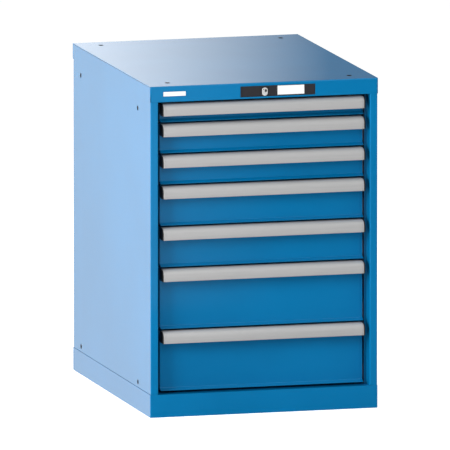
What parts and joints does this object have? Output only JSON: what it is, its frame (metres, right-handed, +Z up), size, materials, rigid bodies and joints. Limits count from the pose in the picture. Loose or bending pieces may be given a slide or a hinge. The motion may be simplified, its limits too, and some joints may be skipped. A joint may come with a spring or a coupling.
{
  "type": "workshop drawer cabinet",
  "caption": "Free-standing steel workshop cabinet with stacked full-width drawers on telescopic slides, closed plinth, and a central lock that works a locking bar behind the drawers.",
  "frame": {"origin": "middle of the footprint, on the ground", "axes": "+Z up, -Y towards the front where the drawers open, +X to the right seen from the front"},
  "size_m": [0.564, 0.725, 0.8],
  "materials": {
    "cabinet_paint": "satin powder coat",
    "front_paint": "satin powder coat",
    "tray_paint": "satin light grey",
    "zinc_steel": "zinc plated",
    "grip_aluminium": "matt anodised",
    "black_plastic": "matte",
    "plate_plastic": "matte",
    "lock_chrome": "polished",
    "label_white": "matte card"
  },
  "bodies": {
    "housing": {"left_side_wall": "cabinet_paint", "right_side_wall": "cabinet_paint", "back_panel": "cabinet_paint", "back_rivets": "zinc_steel", "top_cap": "cabinet_paint", "floor_panel": "cabinet_paint", "plinth": "cabinet_paint", "left_uprights": "zinc_steel", "right_uprights": "zinc_steel", "cabinet_rails": "zinc_steel", "lock_plate": "plate_plastic", "lock_housing": "lock_chrome", "lock_brackets": "zinc_steel", "fascia_labels": "label_white"},
    "drawer_1": {"drawer_1_tray": "tray_paint", "drawer_1_front": "front_paint", "drawer_1_handle": "grip_aluminium", "drawer_1_end_caps": "black_plastic", "drawer_1_rails": "zinc_steel"},
    "drawer_2": {"drawer_2_tray": "tray_paint", "drawer_2_front": "front_paint", "drawer_2_handle": "grip_aluminium", "drawer_2_end_caps": "black_plastic", "drawer_2_rails": "zinc_steel"},
    "drawer_3": {"drawer_3_tray": "tray_paint", "drawer_3_front": "front_paint", "drawer_3_handle": "grip_aluminium", "drawer_3_end_caps": "black_plastic", "drawer_3_rails": "zinc_steel"},
    "drawer_4": {"drawer_4_tray": "tray_paint", "drawer_4_front": "front_paint", "drawer_4_handle": "grip_aluminium", "drawer_4_end_caps": "black_plastic", "drawer_4_rails": "zinc_steel"},
    "drawer_5": {"drawer_5_tray": "tray_paint", "drawer_5_front": "front_paint", "drawer_5_handle": "grip_aluminium", "drawer_5_end_caps": "black_plastic", "drawer_5_rails": "zinc_steel"},
    "drawer_6": {"drawer_6_tray": "tray_paint", "drawer_6_front": "front_paint", "drawer_6_handle": "grip_aluminium", "drawer_6_end_caps": "black_plastic", "drawer_6_rails": "zinc_steel"},
    "drawer_7": {"drawer_7_tray": "tray_paint", "drawer_7_front": "front_paint", "drawer_7_handle": "grip_aluminium", "drawer_7_end_caps": "black_plastic", "drawer_7_rails": "zinc_steel"},
    "slide_1": {"slide_1_members": "zinc_steel"},
    "slide_2": {"slide_2_members": "zinc_steel"},
    "slide_3": {"slide_3_members": "zinc_steel"},
    "slide_4": {"slide_4_members": "zinc_steel"},
    "slide_5": {"slide_5_members": "zinc_steel"},
    "slide_6": {"slide_6_members": "zinc_steel"},
    "slide_7": {"slide_7_members": "zinc_steel"},
    "lock": {"lock_plug": "lock_chrome", "lock_shaft": "zinc_steel", "lock_cam": "zinc_steel"},
    "locking_bar": {"locking_bar": "zinc_steel"}
  },
  "joints": [
    {"name": "drawer_1", "type": "slide", "parent": "housing", "child": "drawer_1", "axis": [0, -1, 0], "range_m": [0, 0.612]},
    {"name": "drawer_2", "type": "slide", "parent": "housing", "child": "drawer_2", "axis": [0, -1, 0], "range_m": [0, 0.612]},
    {"name": "drawer_3", "type": "slide", "parent": "housing", "child": "drawer_3", "axis": [0, -1, 0], "range_m": [0, 0.612]},
    {"name": "drawer_4", "type": "slide", "parent": "housing", "child": "drawer_4", "axis": [0, -1, 0], "range_m": [0, 0.612]},
    {"name": "drawer_5", "type": "slide", "parent": "housing", "child": "drawer_5", "axis": [0, -1, 0], "range_m": [0, 0.612]},
    {"name": "drawer_6", "type": "slide", "parent": "housing", "child": "drawer_6", "axis": [0, -1, 0], "range_m": [0, 0.612]},
    {"name": "drawer_7", "type": "slide", "parent": "housing", "child": "drawer_7", "axis": [0, -1, 0], "range_m": [0, 0.612]},
    {"name": "slide_1", "type": "slide", "parent": "housing", "child": "slide_1", "axis": [0, -1, 0], "range_m": [0, 0.306]},
    {"name": "slide_2", "type": "slide", "parent": "housing", "child": "slide_2", "axis": [0, -1, 0], "range_m": [0, 0.306]},
    {"name": "slide_3", "type": "slide", "parent": "housing", "child": "slide_3", "axis": [0, -1, 0], "range_m": [0, 0.306]},
    {"name": "slide_4", "type": "slide", "parent": "housing", "child": "slide_4", "axis": [0, -1, 0], "range_m": [0, 0.306]},
    {"name": "slide_5", "type": "slide", "parent": "housing", "child": "slide_5", "axis": [0, -1, 0], "range_m": [0, 0.306]},
    {"name": "slide_6", "type": "slide", "parent": "housing", "child": "slide_6", "axis": [0, -1, 0], "range_m": [0, 0.306]},
    {"name": "slide_7", "type": "slide", "parent": "housing", "child": "slide_7", "axis": [0, -1, 0], "range_m": [0, 0.306]},
    {"name": "locking_bar_lift", "type": "slide", "parent": "housing", "child": "locking_bar", "axis": [0, 0, 1], "range_m": [0, 0.012]},
    {"name": "lock_turn", "type": "hinge", "parent": "housing", "child": "lock", "pos_m": [0.0036, -0.3625, 0.78], "axis": [0, 1, 0], "range_deg": [0, 90]}
  ],
  "couplings": [
    {"joint": "slide_1", "follows": "drawer_1", "ratio": 0.5},
    {"joint": "slide_2", "follows": "drawer_2", "ratio": 0.5},
    {"joint": "slide_3", "follows": "drawer_3", "ratio": 0.5},
    {"joint": "slide_4", "follows": "drawer_4", "ratio": 0.5},
    {"joint": "slide_5", "follows": "drawer_5", "ratio": 0.5},
    {"joint": "slide_6", "follows": "drawer_6", "ratio": 0.5},
    {"joint": "slide_7", "follows": "drawer_7", "ratio": 0.5},
    {"joint": "lock_turn", "follows": "locking_bar_lift", "rad_per_m": 130.9}
  ]
}
